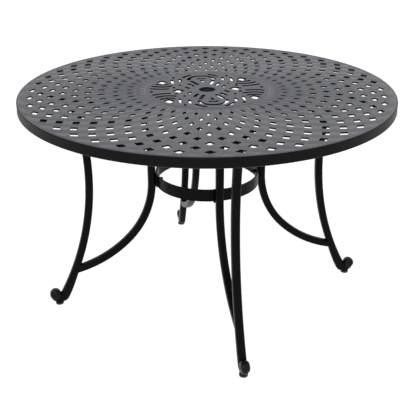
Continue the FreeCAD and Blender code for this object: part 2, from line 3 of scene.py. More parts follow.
import bmesh
import bpy
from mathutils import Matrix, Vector


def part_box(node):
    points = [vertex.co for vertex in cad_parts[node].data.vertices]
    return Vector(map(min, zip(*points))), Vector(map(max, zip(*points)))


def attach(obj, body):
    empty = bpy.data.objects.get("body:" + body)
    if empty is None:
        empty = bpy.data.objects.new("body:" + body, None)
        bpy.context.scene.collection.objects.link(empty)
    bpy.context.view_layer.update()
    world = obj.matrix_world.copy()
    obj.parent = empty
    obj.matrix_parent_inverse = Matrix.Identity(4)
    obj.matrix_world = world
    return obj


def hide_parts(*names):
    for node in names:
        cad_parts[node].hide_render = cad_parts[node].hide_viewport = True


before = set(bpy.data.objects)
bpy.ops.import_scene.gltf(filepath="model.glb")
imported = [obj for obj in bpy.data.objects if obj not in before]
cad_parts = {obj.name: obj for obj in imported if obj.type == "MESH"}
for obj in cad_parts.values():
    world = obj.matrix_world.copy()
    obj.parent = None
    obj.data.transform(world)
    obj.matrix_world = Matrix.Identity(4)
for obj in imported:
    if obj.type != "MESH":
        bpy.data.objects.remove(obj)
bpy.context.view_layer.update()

MM = 0.001

# Driving dimensions, in metres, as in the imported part
TABLE_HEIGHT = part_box("rim_band")[1].z
TOP_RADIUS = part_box("rim_band")[1].x
RIM_DEPTH = TABLE_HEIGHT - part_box("rim_band")[0].z
RIM_WALL = 4 * MM
TOP_THICKNESS = 5 * MM
TOP_UNDERSIDE = TABLE_HEIGHT - TOP_THICKNESS
TOP_TURN = math.radians(-3)
MEDALLION_RADIUS = 193 * MM
MEDALLION_BORDER = 13 * MM
HOLE_RADIUS = 26 * MM

# Lattice: two crossing families of bands, each an arc through the table's centre
BAND_PAIRS = 44
BAND_BOW = 338 * MM
HALF_PITCH = math.pi / BAND_PAIRS
ROWS = 9
FIRST_ROW_RADIUS = 242 * MM
FIRST_ROW_ANGLE = math.acos(FIRST_ROW_RADIUS / (2 * BAND_BOW))
INNER_SIDE = 17 * MM
OUTER_SIDE = 21.5 * MM
HOLE_EDGE = 0.35 * MM
CORNER_SHARE = 0.2
SIDE_STOPS = (-1, -0.9, -0.8, -0.4, 0, 0.4, 0.8, 0.9)
FRONT = -math.pi / 2

# Ridges: four fine raised lines along each band, and rings on the plain margins
RIDGE_HEIGHT = 0.45 * MM
RIDGE_FOOT = 0.05 * MM
RIDGE_WIDTH = 1.6 * MM
RIDGE_SHIFTS = (-0.375, -0.125, 0.125, 0.375)
RIDGE_SECTION = ((-0.5, 0), (-0.25, 0.8), (0, 1), (0.25, 0.8), (0.5, 0))
INNER_RINGS = (194.6 * MM, 199.5 * MM, 204.5 * MM, 209 * MM)
OUTER_RINGS = (572.5 * MM, 576 * MM, 579 * MM)
FACE_LEVEL = TABLE_HEIGHT - RIDGE_HEIGHT

# Ribs under every fourth band of one family, notched round the mount plates
FIRST_RIB_BAND = 3
BANDS_PER_RIB = 4
RIB_WIDTH = 5 * MM
RIB_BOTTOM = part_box("lattice_field")[0].z
RIB_GAP = 1 * MM

# Bosses and mount plates: a brace plate lies along its leg, a post plate between two crossings
BOSS_RADIUS = 8 * MM
BOSS_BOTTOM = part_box("front_post_plate")[1].z
BOLT_RADIUS = 3.2 * MM
BRACE_BOLT_PLACE = 209 * MM
BRACE_BOLT_ASIDE = 20 * MM
BRACE_PLATE_PLACE = 195.4 * MM
BRACE_PLATE_HALF_LENGTH = 27.6 * MM
BRACE_PLATE_HALF_WIDTH = 31 * MM
POST_BOLT_ROWS = ((3, 2 * HALF_PITCH), (5, 0))
POST_PLATE_MARGIN = 14 * MM
POST_PLATE_HALF_WIDTH = 18 * MM

# Legs: the posts and braces follow the same arcs as the part
LEG_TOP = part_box("front_post_plate")[0].z
LEG_DEPTH = 25 * MM
POST_WIDTH = 26 * MM
BRACE_WIDTH = 25 * MM
BAR_CORNER = 6.5 * MM
PANEL_INSET = 1.2 * MM
PANEL_STEP = 0.5 * MM
WAIST_RADIUS = 385.286 * MM
WAIST_HEIGHT = 461.2 * MM
POST_BOW = 890 * MM
FOOT_RADIUS = 512.293 * MM
CURL_RADIUS = 17.5 * MM
CURL_HEIGHT = 38 * MM
CURL_TAPER = 0.45
HEEL_SWELL = 0.5
SCROLL_PLACE = 523.8 * MM
SCROLL_RADIUS = 18.5 * MM
SCROLL_WIDTH = 28 * MM
PAD_HEIGHT = 8 * MM
BRACE_PLACE = 184.3 * MM
BRACE_BEND_HEIGHT = 421.4 * MM
BRACE_BEND_RADIUS = 277.8 * MM
BRACE_BEND_ANGLE = 43.7
BRACE_SWEEP_RADIUS = 367.7 * MM

# Which way each leg points, in degrees
LEGS = {"front": -90, "right": 0, "back": 90, "left": 180}


# Mesh helpers

MERGE_DISTANCE = 0.001 * MM


def make_piece(name, verts, faces, material):
    """A smooth piece of the table body, in its powder coat."""
    mesh = bpy.data.meshes.new(name)
    mesh.from_pydata(verts, [], faces)
    mesh.validate()
    mesh.update()
    mesh.materials.append(material)
    mesh.shade_smooth()
    piece = bpy.data.objects.new(name, mesh)
    bpy.context.collection.objects.link(piece)
    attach(piece, "table")
    return piece


def merge_and_sharpen(piece, degrees):
    """Merges points that coincide, and keeps edges sharper than the given angle hard."""
    work = bmesh.new()
    work.from_mesh(piece.data)
    bmesh.ops.remove_doubles(work, verts=work.verts, dist=MERGE_DISTANCE)
    bmesh.ops.recalc_face_normals(work, faces=work.faces)
    work.to_mesh(piece.data)
    work.free()
    piece.data.set_sharp_from_angle(angle=math.radians(degrees))


def turned(x, y, turn):
    """A point turned about the table's axis."""
    return (x * math.cos(turn) - y * math.sin(turn), x * math.sin(turn) + y * math.cos(turn))


def strip(count_along, count_across, closed_across, offset=0):
    """Faces between neighbouring rows of points, each row count_across long."""
    faces = []
    across = count_across if closed_across else count_across - 1
    for row in range(count_along - 1):
        for column in range(across):
            following = (column + 1) % count_across
            faces.append((
                offset + row * count_across + column,
                offset + row * count_across + following,
                offset + (row + 1) * count_across + following,
                offset + (row + 1) * count_across + column,
            ))
    return faces


def end_caps(first, last, count):
    """The two end faces of a bar whose first and last rows start at these points."""
    return [
        tuple(range(first, first + count)),
        tuple(range(last + count - 1, last - 1, -1)),
    ]


def lathe(name, profile, material, segments, centre=(0, 0)):
    """A closed outline of (radius, height) points, turned about an upright axis."""
    verts = []
    for index in range(segments):
        angle = 2 * math.pi * index / segments
        for radius, height in profile:
            verts.append((
                centre[0] + radius * math.cos(angle),
                centre[1] + radius * math.sin(angle),
                height,
            ))
    count = len(profile)
    faces = []
    for index in range(segments):
        following = (index + 1) % segments
        for point in range(count):
            ahead = (point + 1) % count
            faces.append((
                index * count + point,
                following * count + point,
                following * count + ahead,
                index * count + ahead,
            ))
    return make_piece(name, verts, faces, material)


# Materials: procedural powder coat, plated steel and moulded plastic

CLOUD_SCALE = 14
POLISH_RANGE = 0.06
GRAIN_SCALE = 900
GRAIN_DEPTH = 0.3 * MM
BEAD_DEPTH = 0.5 * MM
BEAD_LIMIT = -0.6


def coat(name, colour, variation, roughness, specular, grain=0.12):
    """A coat with a soft cloud in its colour and polish, and a fine grain in its surface."""
    material = bpy.data.materials.new(name)
    material.use_nodes = True
    nodes = material.node_tree.nodes
    links = material.node_tree.links
    shader = nodes["Principled BSDF"]
    place = nodes.new("ShaderNodeTexCoord")
    cloud = nodes.new("ShaderNodeTexNoise")
    cloud.inputs["Scale"].default_value = CLOUD_SCALE
    cloud.inputs["Detail"].default_value = 5
    links.new(place.outputs["Object"], cloud.inputs["Vector"])
    tint = nodes.new("ShaderNodeValToRGB")
    low = [channel * (1 - variation) for channel in colour]
    high = [channel * (1 + variation) for channel in colour]
    tint.color_ramp.elements[0].position = 0.3
    tint.color_ramp.elements[0].color = (*low, 1)
    tint.color_ramp.elements[1].position = 0.7
    tint.color_ramp.elements[1].color = (*high, 1)
    links.new(cloud.outputs["Fac"], tint.inputs["Fac"])
    links.new(tint.outputs["Color"], shader.inputs["Base Color"])
    polish = nodes.new("ShaderNodeMapRange")
    polish.inputs["To Min"].default_value = roughness - POLISH_RANGE
    polish.inputs["To Max"].default_value = roughness + POLISH_RANGE
    links.new(cloud.outputs["Fac"], polish.inputs["Value"])
    links.new(polish.outputs["Result"], shader.inputs["Roughness"])
    grains = nodes.new("ShaderNodeTexNoise")
    grains.inputs["Scale"].default_value = GRAIN_SCALE
    grains.inputs["Detail"].default_value = 3
    links.new(place.outputs["Object"], grains.inputs["Vector"])
    bump = nodes.new("ShaderNodeBump")
    bump.inputs["Strength"].default_value = grain
    bump.inputs["Distance"].default_value = GRAIN_DEPTH
    links.new(grains.outputs["Fac"], bump.inputs["Height"])
    links.new(bump.outputs["Normal"], shader.inputs["Normal"])
    shader.inputs["Specular IOR Level"].default_value = specular
    return material


def ring_beads(material, inner, outer, count):
    """Narrow rings of relief between two radii, one where each wave of a cosine is low."""
    nodes = material.node_tree.nodes
    links = material.node_tree.links
    shader = nodes["Principled BSDF"]
    place = nodes.new("ShaderNodeTexCoord")
    flat = nodes.new("ShaderNodeVectorMath")
    flat.operation = "MULTIPLY"
    flat.inputs[1].default_value = (1, 1, 0)
    links.new(place.outputs["Object"], flat.inputs[0])
    reach = nodes.new("ShaderNodeVectorMath")
    reach.operation = "LENGTH"
    links.new(flat.outputs["Vector"], reach.inputs[0])
    phase = nodes.new("ShaderNodeMapRange")
    phase.inputs["From Min"].default_value = inner
    phase.inputs["From Max"].default_value = outer
    phase.inputs["To Max"].default_value = 2 * math.pi * count
    links.new(reach.outputs["Value"], phase.inputs["Value"])
    wave = nodes.new("ShaderNodeMath")
    wave.operation = "COSINE"
    links.new(phase.outputs["Result"], wave.inputs[0])
    bead = nodes.new("ShaderNodeMapRange")
    bead.inputs["From Min"].default_value = -1
    bead.inputs["From Max"].default_value = BEAD_LIMIT
    bead.inputs["To Min"].default_value = 1
    bead.inputs["To Max"].default_value = 0
    links.new(wave.outputs[0], bead.inputs["Value"])
    relief = nodes.new("ShaderNodeBump")
    relief.inputs["Strength"].default_value = 1
    relief.inputs["Distance"].default_value = BEAD_DEPTH
    links.new(bead.outputs["Result"], relief.inputs["Height"])
    grain = shader.inputs["Normal"].links[0].from_socket
    links.new(grain, relief.inputs["Normal"])
    links.new(relief.outputs["Normal"], shader.inputs["Normal"])


# The top's colour is a lighter, bluish copy of the dark powder coat on the legs and rim: painted
# light on the face that catches the lamps.
TOP_PAINTED_LIGHT_COLOUR = (0.0225, 0.0245, 0.041)
LEG_COLOUR = (0.007, 0.007, 0.008)
RIM_COLOUR = (0.008, 0.008, 0.009)
# The colour below is a darker copy of the same coat: painted shade for the walls of the holes and
# slots and for the parts under the top.
PAINTED_SHADE_COLOUR = (0.005, 0.005, 0.0055)
STEEL_COLOUR = (0.016, 0.016, 0.018)
ZINC_COLOUR = (0.5, 0.5, 0.52)
PLASTIC_COLOUR = (0.01, 0.01, 0.01)

# The top's coat and the medallion's take the top's lighter colour of painted light.
TOP_PAINTED_LIGHT_COAT = coat("top_painted_light_coat", TOP_PAINTED_LIGHT_COLOUR, variation=0.12, roughness=0.41, specular=0.56)
MEDALLION_COAT = coat("medallion_coat", TOP_PAINTED_LIGHT_COLOUR, variation=0.12, roughness=0.45, specular=0.31)
ring_beads(MEDALLION_COAT, MEDALLION_RADIUS - MEDALLION_BORDER, MEDALLION_RADIUS - 1 * MM, 2)
LEG_COAT = coat("leg_coat", LEG_COLOUR, variation=0.2, roughness=0.3, specular=0.07)
SCROLL_COAT = coat("scroll_coat", LEG_COLOUR, variation=0.2, roughness=0.24, specular=0.17)
RIM_COAT = coat("rim_coat", RIM_COLOUR, variation=0.2, roughness=0.42, specular=0.1)
# A coat of painted shade, darker than the legs' coat, for hole walls, slot walls and the parts under
# the top.
PAINTED_SHADE_COAT = coat("painted_shade_coat", PAINTED_SHADE_COLOUR, variation=0.2, roughness=0.5, specular=0.03)
STEEL = coat("fastener_coat", STEEL_COLOUR, variation=0.2, roughness=0.32, specular=0.5)
ZINC = coat("zinc_plate", ZINC_COLOUR, variation=0.08, roughness=0.3, specular=0.5)
ZINC.node_tree.nodes["Principled BSDF"].inputs["Metallic"].default_value = 1
PLASTIC = coat("pad_plastic", PLASTIC_COLOUR, variation=0.15, roughness=0.5, specular=0.4, grain=0.2)


# Lattice top: one cell of band round each hole, laid out along the two families of bands

def row_opening(row):
    """Half the angle between the two bands that meet at the middle of a row's holes."""
    return FIRST_ROW_ANGLE - row * HALF_PITCH


def band_point(first, second, level):
    """Where the bands that set out at these two angles cross."""
    radius = 2 * BAND_BOW * math.cos((second - first) / 2)
    angle = (first + second) / 2 + FRONT + TOP_TURN
    return (radius * math.cos(angle), radius * math.sin(angle), level)


def square_loop():
    """Points once round a square of half side 1."""
    points = []
    for side in range(4):
        for stop in SIDE_STOPS:
            x, y = stop, -1
            for turn in range(side):
                x, y = -y, x
            points.append((x, y))
    return points


def rounded_stop(x, y):
    """A point of the square loop, drawn in where it lies in one of the rounded corners."""
    limit = 1 - CORNER_SHARE
    inner_x = max(-limit, min(limit, x))
    inner_y = max(-limit, min(limit, y))
    away_x = x - inner_x
    away_y = y - inner_y
    scale = CORNER_SHARE / math.hypot(away_x, away_y)
    return inner_x + away_x * scale, inner_y + away_y * scale


def hole_side(row):
    return INNER_SIDE + (OUTER_SIDE - INNER_SIDE) * row / (ROWS - 1)


def lattice_field():
    """A cell of band round each hole: its face, the rounded hole through it, its underside."""
    outline = square_loop()
    count = len(outline)
    verts = []
    faces = []
    for row in range(ROWS):
        opening = row_opening(row)
        half_side = hole_side(row) / 2 / BAND_BOW
        half_edge = half_side + HOLE_EDGE / BAND_BOW
        loops = [
            (HALF_PITCH, False, FACE_LEVEL),
            (half_edge, True, FACE_LEVEL),
            (half_side, True, FACE_LEVEL - HOLE_EDGE),
            (half_side, True, TOP_UNDERSIDE + HOLE_EDGE),
            (half_edge, True, TOP_UNDERSIDE),
            (HALF_PITCH, False, TOP_UNDERSIDE),
        ]
        for place in range(BAND_PAIRS):
            azimuth = (2 * place + row % 2) * HALF_PITCH
            first = azimuth - opening
            second = azimuth + opening
            offset = len(verts)
            for reach, rounded, level in loops:
                for x, y in outline:
                    if rounded:
                        x, y = rounded_stop(x, y)
                    verts.append(band_point(first + x * reach, second + y * reach, level))
            faces += strip(len(loops), count, True, offset)
    margins(verts, faces)
    # The top's face takes the top's lighter coat of painted light. The hole walls and the underside
    # take the darker coat of painted shade.
    field = make_piece("lattice_top", verts, faces, TOP_PAINTED_LIGHT_COAT)
    merge_and_sharpen(field, degrees=35)
    field.data.materials.append(PAINTED_SHADE_COAT)
    for face in field.data.polygons:
        face.material_index = 0 if face.center.z > FACE_LEVEL - HOLE_EDGE else 1
    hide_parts("lattice_field")


def margin_path(row, inward):
    """Points of the zigzag edge of the outermost or innermost row of cells, once round."""
    opening = row_opening(row)
    path = []
    tip = opening + HALF_PITCH if inward else opening - HALF_PITCH
    for place in range(BAND_PAIRS):
        azimuth = (2 * place + row % 2) * HALF_PITCH
        for stop in SIDE_STOPS:
            share = (stop + 1) / 2
            half_turn = tip + (opening - tip) * share
            path.append((azimuth + HALF_PITCH * share, half_turn))
        for stop in SIDE_STOPS:
            share = (stop + 1) / 2
            half_turn = opening + (tip - opening) * share
            path.append((azimuth + HALF_PITCH * (1 + share), half_turn))
    return path


def margins(verts, faces):
    """The plain rings between the lattice and the medallion, and between it and the rim."""
    inner_margin = (0, True, MEDALLION_RADIUS)
    outer_margin = (ROWS - 1, False, TOP_RADIUS - RIM_WALL)
    for row, inward, radius in (inner_margin, outer_margin):
        path = margin_path(row, inward)
        offset = len(verts)
        for azimuth, half_turn in path:
            zigzag_top = band_point(azimuth - half_turn, azimuth + half_turn, FACE_LEVEL)
            zigzag_low = band_point(azimuth - half_turn, azimuth + half_turn, TOP_UNDERSIDE)
            angle = azimuth + FRONT + TOP_TURN
            x = radius * math.cos(angle)
            y = radius * math.sin(angle)
            verts.extend([zigzag_top, (x, y, FACE_LEVEL), (x, y, TOP_UNDERSIDE), zigzag_low])
        count = len(path)
        for index in range(count):
            here = offset + index * 4
            ahead = offset + (index + 1) % count * 4
            for side in range(3):
                faces.append((here + side, ahead + side, ahead + side + 1, here + side + 1))


# Fine ridges: raised lines that run along each band, and rings on the plain margins

def ridge(verts, faces, centre, closed):
    """A low rounded bead along centre, a list of points with their sideways directions."""
    offset = len(verts)
    count = len(RIDGE_SECTION)
    for point, side in centre:
        for across, up in RIDGE_SECTION:
            verts.append((
                point[0] + side[0] * across * RIDGE_WIDTH,
                point[1] + side[1] * across * RIDGE_WIDTH,
                FACE_LEVEL - RIDGE_FOOT + up * (RIDGE_HEIGHT + RIDGE_FOOT),
            ))
    faces += strip(len(centre), count, False, offset)
    if closed:
        last = offset + (len(centre) - 1) * count
        for index in range(count - 1):
            faces.append((last + index, last + index + 1, offset + index + 1, offset + index))


def with_sides(points):
    """Each point of a path, with the level direction across the path there."""
    centre = []
    for index, point in enumerate(points):
        before = points[max(index - 1, 0)]
        after = points[min(index + 1, len(points) - 1)]
        run = Vector((after[0] - before[0], after[1] - before[1], 0)).normalized()
        centre.append((point, (-run.y, run.x)))
    return centre


def ring_centre(radius):
    count = 240
    centre = []
    for index in range(count):
        angle = 2 * math.pi * index / count
        centre.append((
            (radius * math.cos(angle), radius * math.sin(angle)),
            (math.cos(angle), math.sin(angle)),
        ))
    return centre


def band_ridges():
    verts = []
    faces = []
    innermost = row_opening(-0.98)
    outermost = row_opening(ROWS + 0.15)
    steps = 56
    for band in range(BAND_PAIRS):
        for shift in RIDGE_SHIFTS:
            base = -FIRST_ROW_ANGLE + HALF_PITCH * (2 * band + 1 + shift)
            for family in (1, -1):
                points = []
                for step in range(steps + 1):
                    half_turn = innermost + (outermost - innermost) * step / steps
                    if family == 1:
                        first = base
                        second = base + 2 * half_turn
                    else:
                        second = -base
                        first = second - 2 * half_turn
                    points.append(band_point(first, second, FACE_LEVEL))
                ridge(verts, faces, with_sides(points), False)
    for radius in INNER_RINGS + OUTER_RINGS:
        ridge(verts, faces, ring_centre(radius), True)
    # The ridges share the top's lighter coat of painted light.
    make_piece("lattice_ridges", verts, faces, TOP_PAINTED_LIGHT_COAT)


# Underside: a boss over each bolt, and the ribs

def post_bolts(turn):
    """The two band crossings that a post plate is bolted to."""
    places = []
    for row, aside in POST_BOLT_ROWS:
        radius = 2 * BAND_BOW * math.cos(row_opening(row))
        angle = TOP_TURN + aside + turn
        places.append(Vector((radius * math.cos(angle), radius * math.sin(angle))))
    return places


def bolt_places():
    places = []
    for azimuth in LEGS.values():
        turn = math.radians(azimuth)
        places.append(turned(BRACE_BOLT_PLACE, BRACE_BOLT_ASIDE, turn))
        places.append(turned(BRACE_BOLT_PLACE, -BRACE_BOLT_ASIDE, turn))
        places += post_bolts(turn)
    return places


def bosses():
    """Flared tubes that run from the top's underside down to the mount plates."""
    verts = []
    faces = []
    count = 24
    flare = 1.5 * MM
    edge = 0.5 * MM
    rings = [
        (BOSS_RADIUS + flare, TOP_UNDERSIDE),
        (BOSS_RADIUS, TOP_UNDERSIDE - flare),
        (BOSS_RADIUS, BOSS_BOTTOM + edge),
        (BOSS_RADIUS - edge, BOSS_BOTTOM),
        (BOLT_RADIUS, BOSS_BOTTOM),
        (BOLT_RADIUS, BOSS_BOTTOM + 4 * MM),
    ]
    for x, y in bolt_places():
        offset = len(verts)
        for radius, level in rings:
            for index in range(count):
                angle = 2 * math.pi * index / count
                verts.append((x + radius * math.cos(angle), y + radius * math.sin(angle), level))
        faces += strip(len(rings), count, True, offset)
    # The bosses under the top take the darker coat of painted shade.
    piece = make_piece("bolt_bosses", verts, faces, PAINTED_SHADE_COAT)
    merge_and_sharpen(piece, degrees=35)


def plate_rooms():
    """Middle, half length, half width and turn of the notch over each mount plate."""
    rooms = []
    for azimuth in LEGS.values():
        turn = math.radians(azimuth)
        middle = turned(BRACE_PLATE_PLACE, 0, turn)
        rooms.append((*middle, BRACE_PLATE_HALF_LENGTH, BRACE_PLATE_HALF_WIDTH, turn))
        inner, outer = post_bolts(turn)
        middle = (inner + outer) / 2
        along = outer - inner
        half_length = along.length / 2 + POST_PLATE_MARGIN
        lean = math.atan2(along.y, along.x)
        rooms.append((*middle, half_length, POST_PLATE_HALF_WIDTH, lean))
    return rooms


def in_room(x, y, room):
    middle_x, middle_y, half_length, half_width, turn = room
    away_x = x - middle_x
    away_y = y - middle_y
    along = away_x * math.cos(turn) + away_y * math.sin(turn)
    across = away_y * math.cos(turn) - away_x * math.sin(turn)
    return abs(along) < half_length + RIB_GAP and abs(across) < half_width + RIB_GAP


def rib_section(bottom):
    """Outline of a rib, from its flared root on one side to that on the other."""
    half = RIB_WIDTH / 2
    flare = 1 * MM
    edge = 0.8 * MM
    return [
        (-half - flare, TOP_UNDERSIDE),
        (-half, TOP_UNDERSIDE - flare),
        (-half, bottom + edge),
        (-half + edge, bottom),
        (half - edge, bottom),
        (half, bottom + edge),
        (half, TOP_UNDERSIDE - flare),
        (half + flare, TOP_UNDERSIDE),
    ]


def ribs():
    """Ribs that follow the bands, cut back where they cross a mount plate."""
    verts = []
    faces = []
    rooms = plate_rooms()
    start = math.acos(MEDALLION_RADIUS / (2 * BAND_BOW))
    end = math.acos((TOP_RADIUS - RIM_WALL) / (2 * BAND_BOW))
    steps = 200
    for band in range(FIRST_RIB_BAND, BAND_PAIRS, BANDS_PER_RIB):
        first = -FIRST_ROW_ANGLE + HALF_PITCH * (2 * band + 1)
        points = []
        for step in range(steps + 1):
            half_turn = start + (end - start) * step / steps
            points.append(band_point(first, first + 2 * half_turn, 0))
        offset = len(verts)
        for point, side in with_sides(points):
            notched = any(in_room(point[0], point[1], room) for room in rooms)
            section = rib_section(BOSS_BOTTOM + RIB_GAP if notched else RIB_BOTTOM)
            for across, level in section:
                verts.append((point[0] + side[0] * across, point[1] + side[1] * across, level))
        count = len(section)
        faces += strip(steps + 1, count, False, offset)
        faces += end_caps(offset, offset + steps * count, count)
    # The ribs under the top take the darker coat of painted shade.
    piece = make_piece("lattice_ribs", verts, faces, PAINTED_SHADE_COAT)
    merge_and_sharpen(piece, degrees=35)


lattice_field()
band_ridges()
ribs()
bosses()


# Rim: a turned band with a rounded top edge and a bead along the bottom

def arc_points(x, y, radius, start, end, count):
    points = []
    for index in range(count + 1):
        angle = math.radians(start + (end - start) * index / count)
        points.append((x + radius * math.cos(angle), y + radius * math.sin(angle)))
    return points


def rim():
    inner = TOP_RADIUS - RIM_WALL
    bottom = TABLE_HEIGHT - RIM_DEPTH
    edge = 2.5 * MM
    face = TOP_RADIUS - 0.8 * MM
    bead = 2.2 * MM
    steps = 6
    profile = arc_points(face - edge, TABLE_HEIGHT - edge, edge, 90, 0, steps)
    profile += [(face, bottom + 6.5 * MM), (face + 0.1 * MM, bottom + 5.8 * MM)]
    profile += arc_points(TOP_RADIUS - bead, bottom + 3 * MM, bead, 50, -60, steps)
    profile += [(TOP_RADIUS - 2.8 * MM, bottom), (inner, bottom), (inner, TABLE_HEIGHT)]
    piece = lathe("rim_shell", profile, RIM_COAT, segments=256)
    merge_and_sharpen(piece, degrees=40)
    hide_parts("rim_band")


rim()


# Legs: posts and braces swept along their arcs, with a low raised panel on each face

def arc_stations(centre_x, centre_z, radius, start, end, count):
    """Points of an arc in a leg's upright plane: place, way to its centre, width share, swell."""
    stations = []
    for index in range(count + 1):
        angle = math.radians(start + (end - start) * index / count)
        x = centre_x + radius * math.cos(angle)
        z = centre_z + radius * math.sin(angle)
        stations.append((x, z, -math.cos(angle), -math.sin(angle), 1, 0))
    return stations


def bar_section(depth, width):
    """Outline of a leg bar: rounded corners, and a raised panel on each of the four faces."""
    points = []
    sides = ((depth, width), (width, depth), (depth, width), (width, depth))
    for side, (reach, span) in enumerate(sides):
        face = reach / 2
        half_span = span / 2
        panel = half_span - BAR_CORNER - PANEL_INSET
        local = [
            (face - PANEL_STEP, -half_span + BAR_CORNER),
            (face - PANEL_STEP, -panel - PANEL_STEP),
            (face, -panel),
            (face, 0),
            (face, panel),
            (face - PANEL_STEP, panel + PANEL_STEP),
            (face - PANEL_STEP, half_span - BAR_CORNER),
        ]
        radius = BAR_CORNER - PANEL_STEP
        for degrees in (22, 45, 68):
            angle = math.radians(degrees)
            local.append((
                face - BAR_CORNER + radius * math.cos(angle),
                half_span - BAR_CORNER + radius * math.sin(angle),
            ))
        for out, along in local:
            for turn in range(side):
                out, along = -along, out
            points.append((out, along))
    return points


def swept(name, stations, section, azimuth, replaced):
    """A bar of the given section along a leg's stations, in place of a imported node."""
    turn = math.radians(azimuth)
    verts = []
    for x, z, in_x, in_z, share, swell in stations:
        for level_out, level_across in section:
            across = level_across * share
            out = level_out if level_out > 0 else level_out * (1 + swell)
            verts.append((*turned(x + out * in_x, across, turn), z + out * in_z))
    count = len(section)
    faces = strip(len(stations), count, True)
    faces += end_caps(0, (len(stations) - 1) * count, count)
    piece = make_piece(name, verts, faces, LEG_COAT)
    merge_and_sharpen(piece, degrees=32)
    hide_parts(replaced)


def eased(share):
    """A share from 0 to 1 that starts and ends softly."""
    share = max(0, min(1, share))
    return share * share * (3 - 2 * share)


def post_stations():
    """The bow of a post and the curl of its foot, with the heel that swells between them."""
    centre_x = WAIST_RADIUS + POST_BOW
    top = 180 - math.degrees(math.asin((LEG_TOP - WAIST_HEIGHT) / POST_BOW))
    drop = WAIST_HEIGHT - CURL_HEIGHT
    low = 180 + math.degrees(math.asin(drop / (POST_BOW - CURL_RADIUS)))
    bow_steps = 64
    rise_steps = 12
    curl_steps = 18
    fall_steps = 7
    bow = arc_stations(centre_x, WAIST_HEIGHT, POST_BOW, top, low, bow_steps)
    stations = [(*bow[0][:2], 1, 0, 1, 0)]
    for index in range(1, bow_steps + 1):
        swell = HEEL_SWELL * eased(1 - (bow_steps - index) / rise_steps)
        stations.append((*bow[index][:5], swell))
    curl = arc_stations(FOOT_RADIUS, CURL_HEIGHT, CURL_RADIUS, low, 360, curl_steps)
    for index in range(1, curl_steps + 1):
        share = 1 - CURL_TAPER * (index / curl_steps) ** 2
        swell = HEEL_SWELL * eased(1 - index / fall_steps)
        stations.append((*curl[index][:4], share, swell))
    return stations


def brace_stations():
    """A brace: straight down past the ring, a bend, and a wider sweep out to the post."""
    bend = math.radians(BRACE_BEND_ANGLE)
    bend_x = BRACE_PLACE + BRACE_BEND_RADIUS
    beyond = BRACE_SWEEP_RADIUS - BRACE_BEND_RADIUS
    sweep_x = bend_x + beyond * math.cos(bend)
    sweep_z = BRACE_BEND_HEIGHT + beyond * math.sin(bend)
    post_x = WAIST_RADIUS + POST_BOW
    away_x = post_x - sweep_x
    away_z = WAIST_HEIGHT - sweep_z
    gap = math.hypot(away_x, away_z)
    along = (BRACE_SWEEP_RADIUS ** 2 - POST_BOW ** 2 + gap ** 2) / (2 * gap)
    aside = math.sqrt(BRACE_SWEEP_RADIUS ** 2 - along ** 2)
    joint_x = (away_x * along + away_z * aside) / gap
    joint_z = (away_z * along - away_x * aside) / gap
    end = math.degrees(math.atan2(joint_z, joint_x)) + 360
    bend_end = 180 + BRACE_BEND_ANGLE
    straight_steps = 8
    bend_steps = 24
    sweep_steps = 36
    drop = (LEG_TOP - BRACE_BEND_HEIGHT) / straight_steps
    stations = []
    for index in range(straight_steps):
        stations.append((BRACE_PLACE, LEG_TOP - index * drop, 1, 0, 1, 0))
    stations += arc_stations(bend_x, BRACE_BEND_HEIGHT, BRACE_BEND_RADIUS, 180, bend_end, bend_steps)
    sweep = arc_stations(sweep_x, sweep_z, BRACE_SWEEP_RADIUS, bend_end, end, sweep_steps)
    return stations + sweep[1:]


def scroll_roll(name, azimuth):
    """The rolled end of a foot, turned about the level axis through the scroll's middle."""
    turn = math.radians(azimuth)
    profile = scroll_profile()
    segments = 40
    verts = []
    for index in range(segments):
        angle = 2 * math.pi * index / segments
        for radius, across in profile:
            reach = SCROLL_PLACE + radius * math.cos(angle)
            height = CURL_HEIGHT + radius * math.sin(angle)
            verts.append((*turned(reach, across, turn), height))
    count = len(profile)
    faces = strip(segments, count, False)
    last = (segments - 1) * count
    for point in range(count - 1):
        faces.append((last + point, last + point + 1, point + 1, point))
    piece = make_piece(name, verts, faces, SCROLL_COAT)
    merge_and_sharpen(piece, degrees=40)


def scroll_profile():
    """Outline of the rolled end: a crowned roll, with a ring and an eye on each side."""
    half = SCROLL_WIDTH / 2
    side = [
        (0, half - 0.6 * MM),
        (2.6 * MM, half - 0.9 * MM),
        (4.2 * MM, half - 2.2 * MM),
        (5.6 * MM, half - 2.4 * MM),
        (7.2 * MM, half - 0.5 * MM),
        (10.2 * MM, half),
        (13.8 * MM, half - 1.1 * MM),
        (16.6 * MM, half - 3.4 * MM),
        (18 * MM, half - 6.5 * MM),
        (SCROLL_RADIUS, half - 10 * MM),
    ]
    mirrored = [(radius, -across) for radius, across in reversed(side)]
    return side + mirrored


def foot_boss(name, azimuth):
    """The boss under a scroll, flared up from the face that the pad is drawn against."""
    bore = 6.5 * MM
    bore_edge = 0.4 * MM
    reach = 10 * MM
    edge = 0.8 * MM
    boss_top = PAD_HEIGHT + 16 * MM
    profile = [
        (bore, boss_top),
        (bore, PAD_HEIGHT + bore_edge),
        (bore + bore_edge, PAD_HEIGHT),
        (reach - edge, PAD_HEIGHT),
        (reach, PAD_HEIGHT + edge),
        (reach, PAD_HEIGHT + 5 * MM),
        (reach + 1.5 * MM, PAD_HEIGHT + 9 * MM),
        (reach + 2.5 * MM, boss_top),
    ]
    centre = turned(FOOT_RADIUS, 0, math.radians(azimuth))
    piece = lathe(name, profile, LEG_COAT, segments=40, centre=centre)
    merge_and_sharpen(piece, degrees=40)


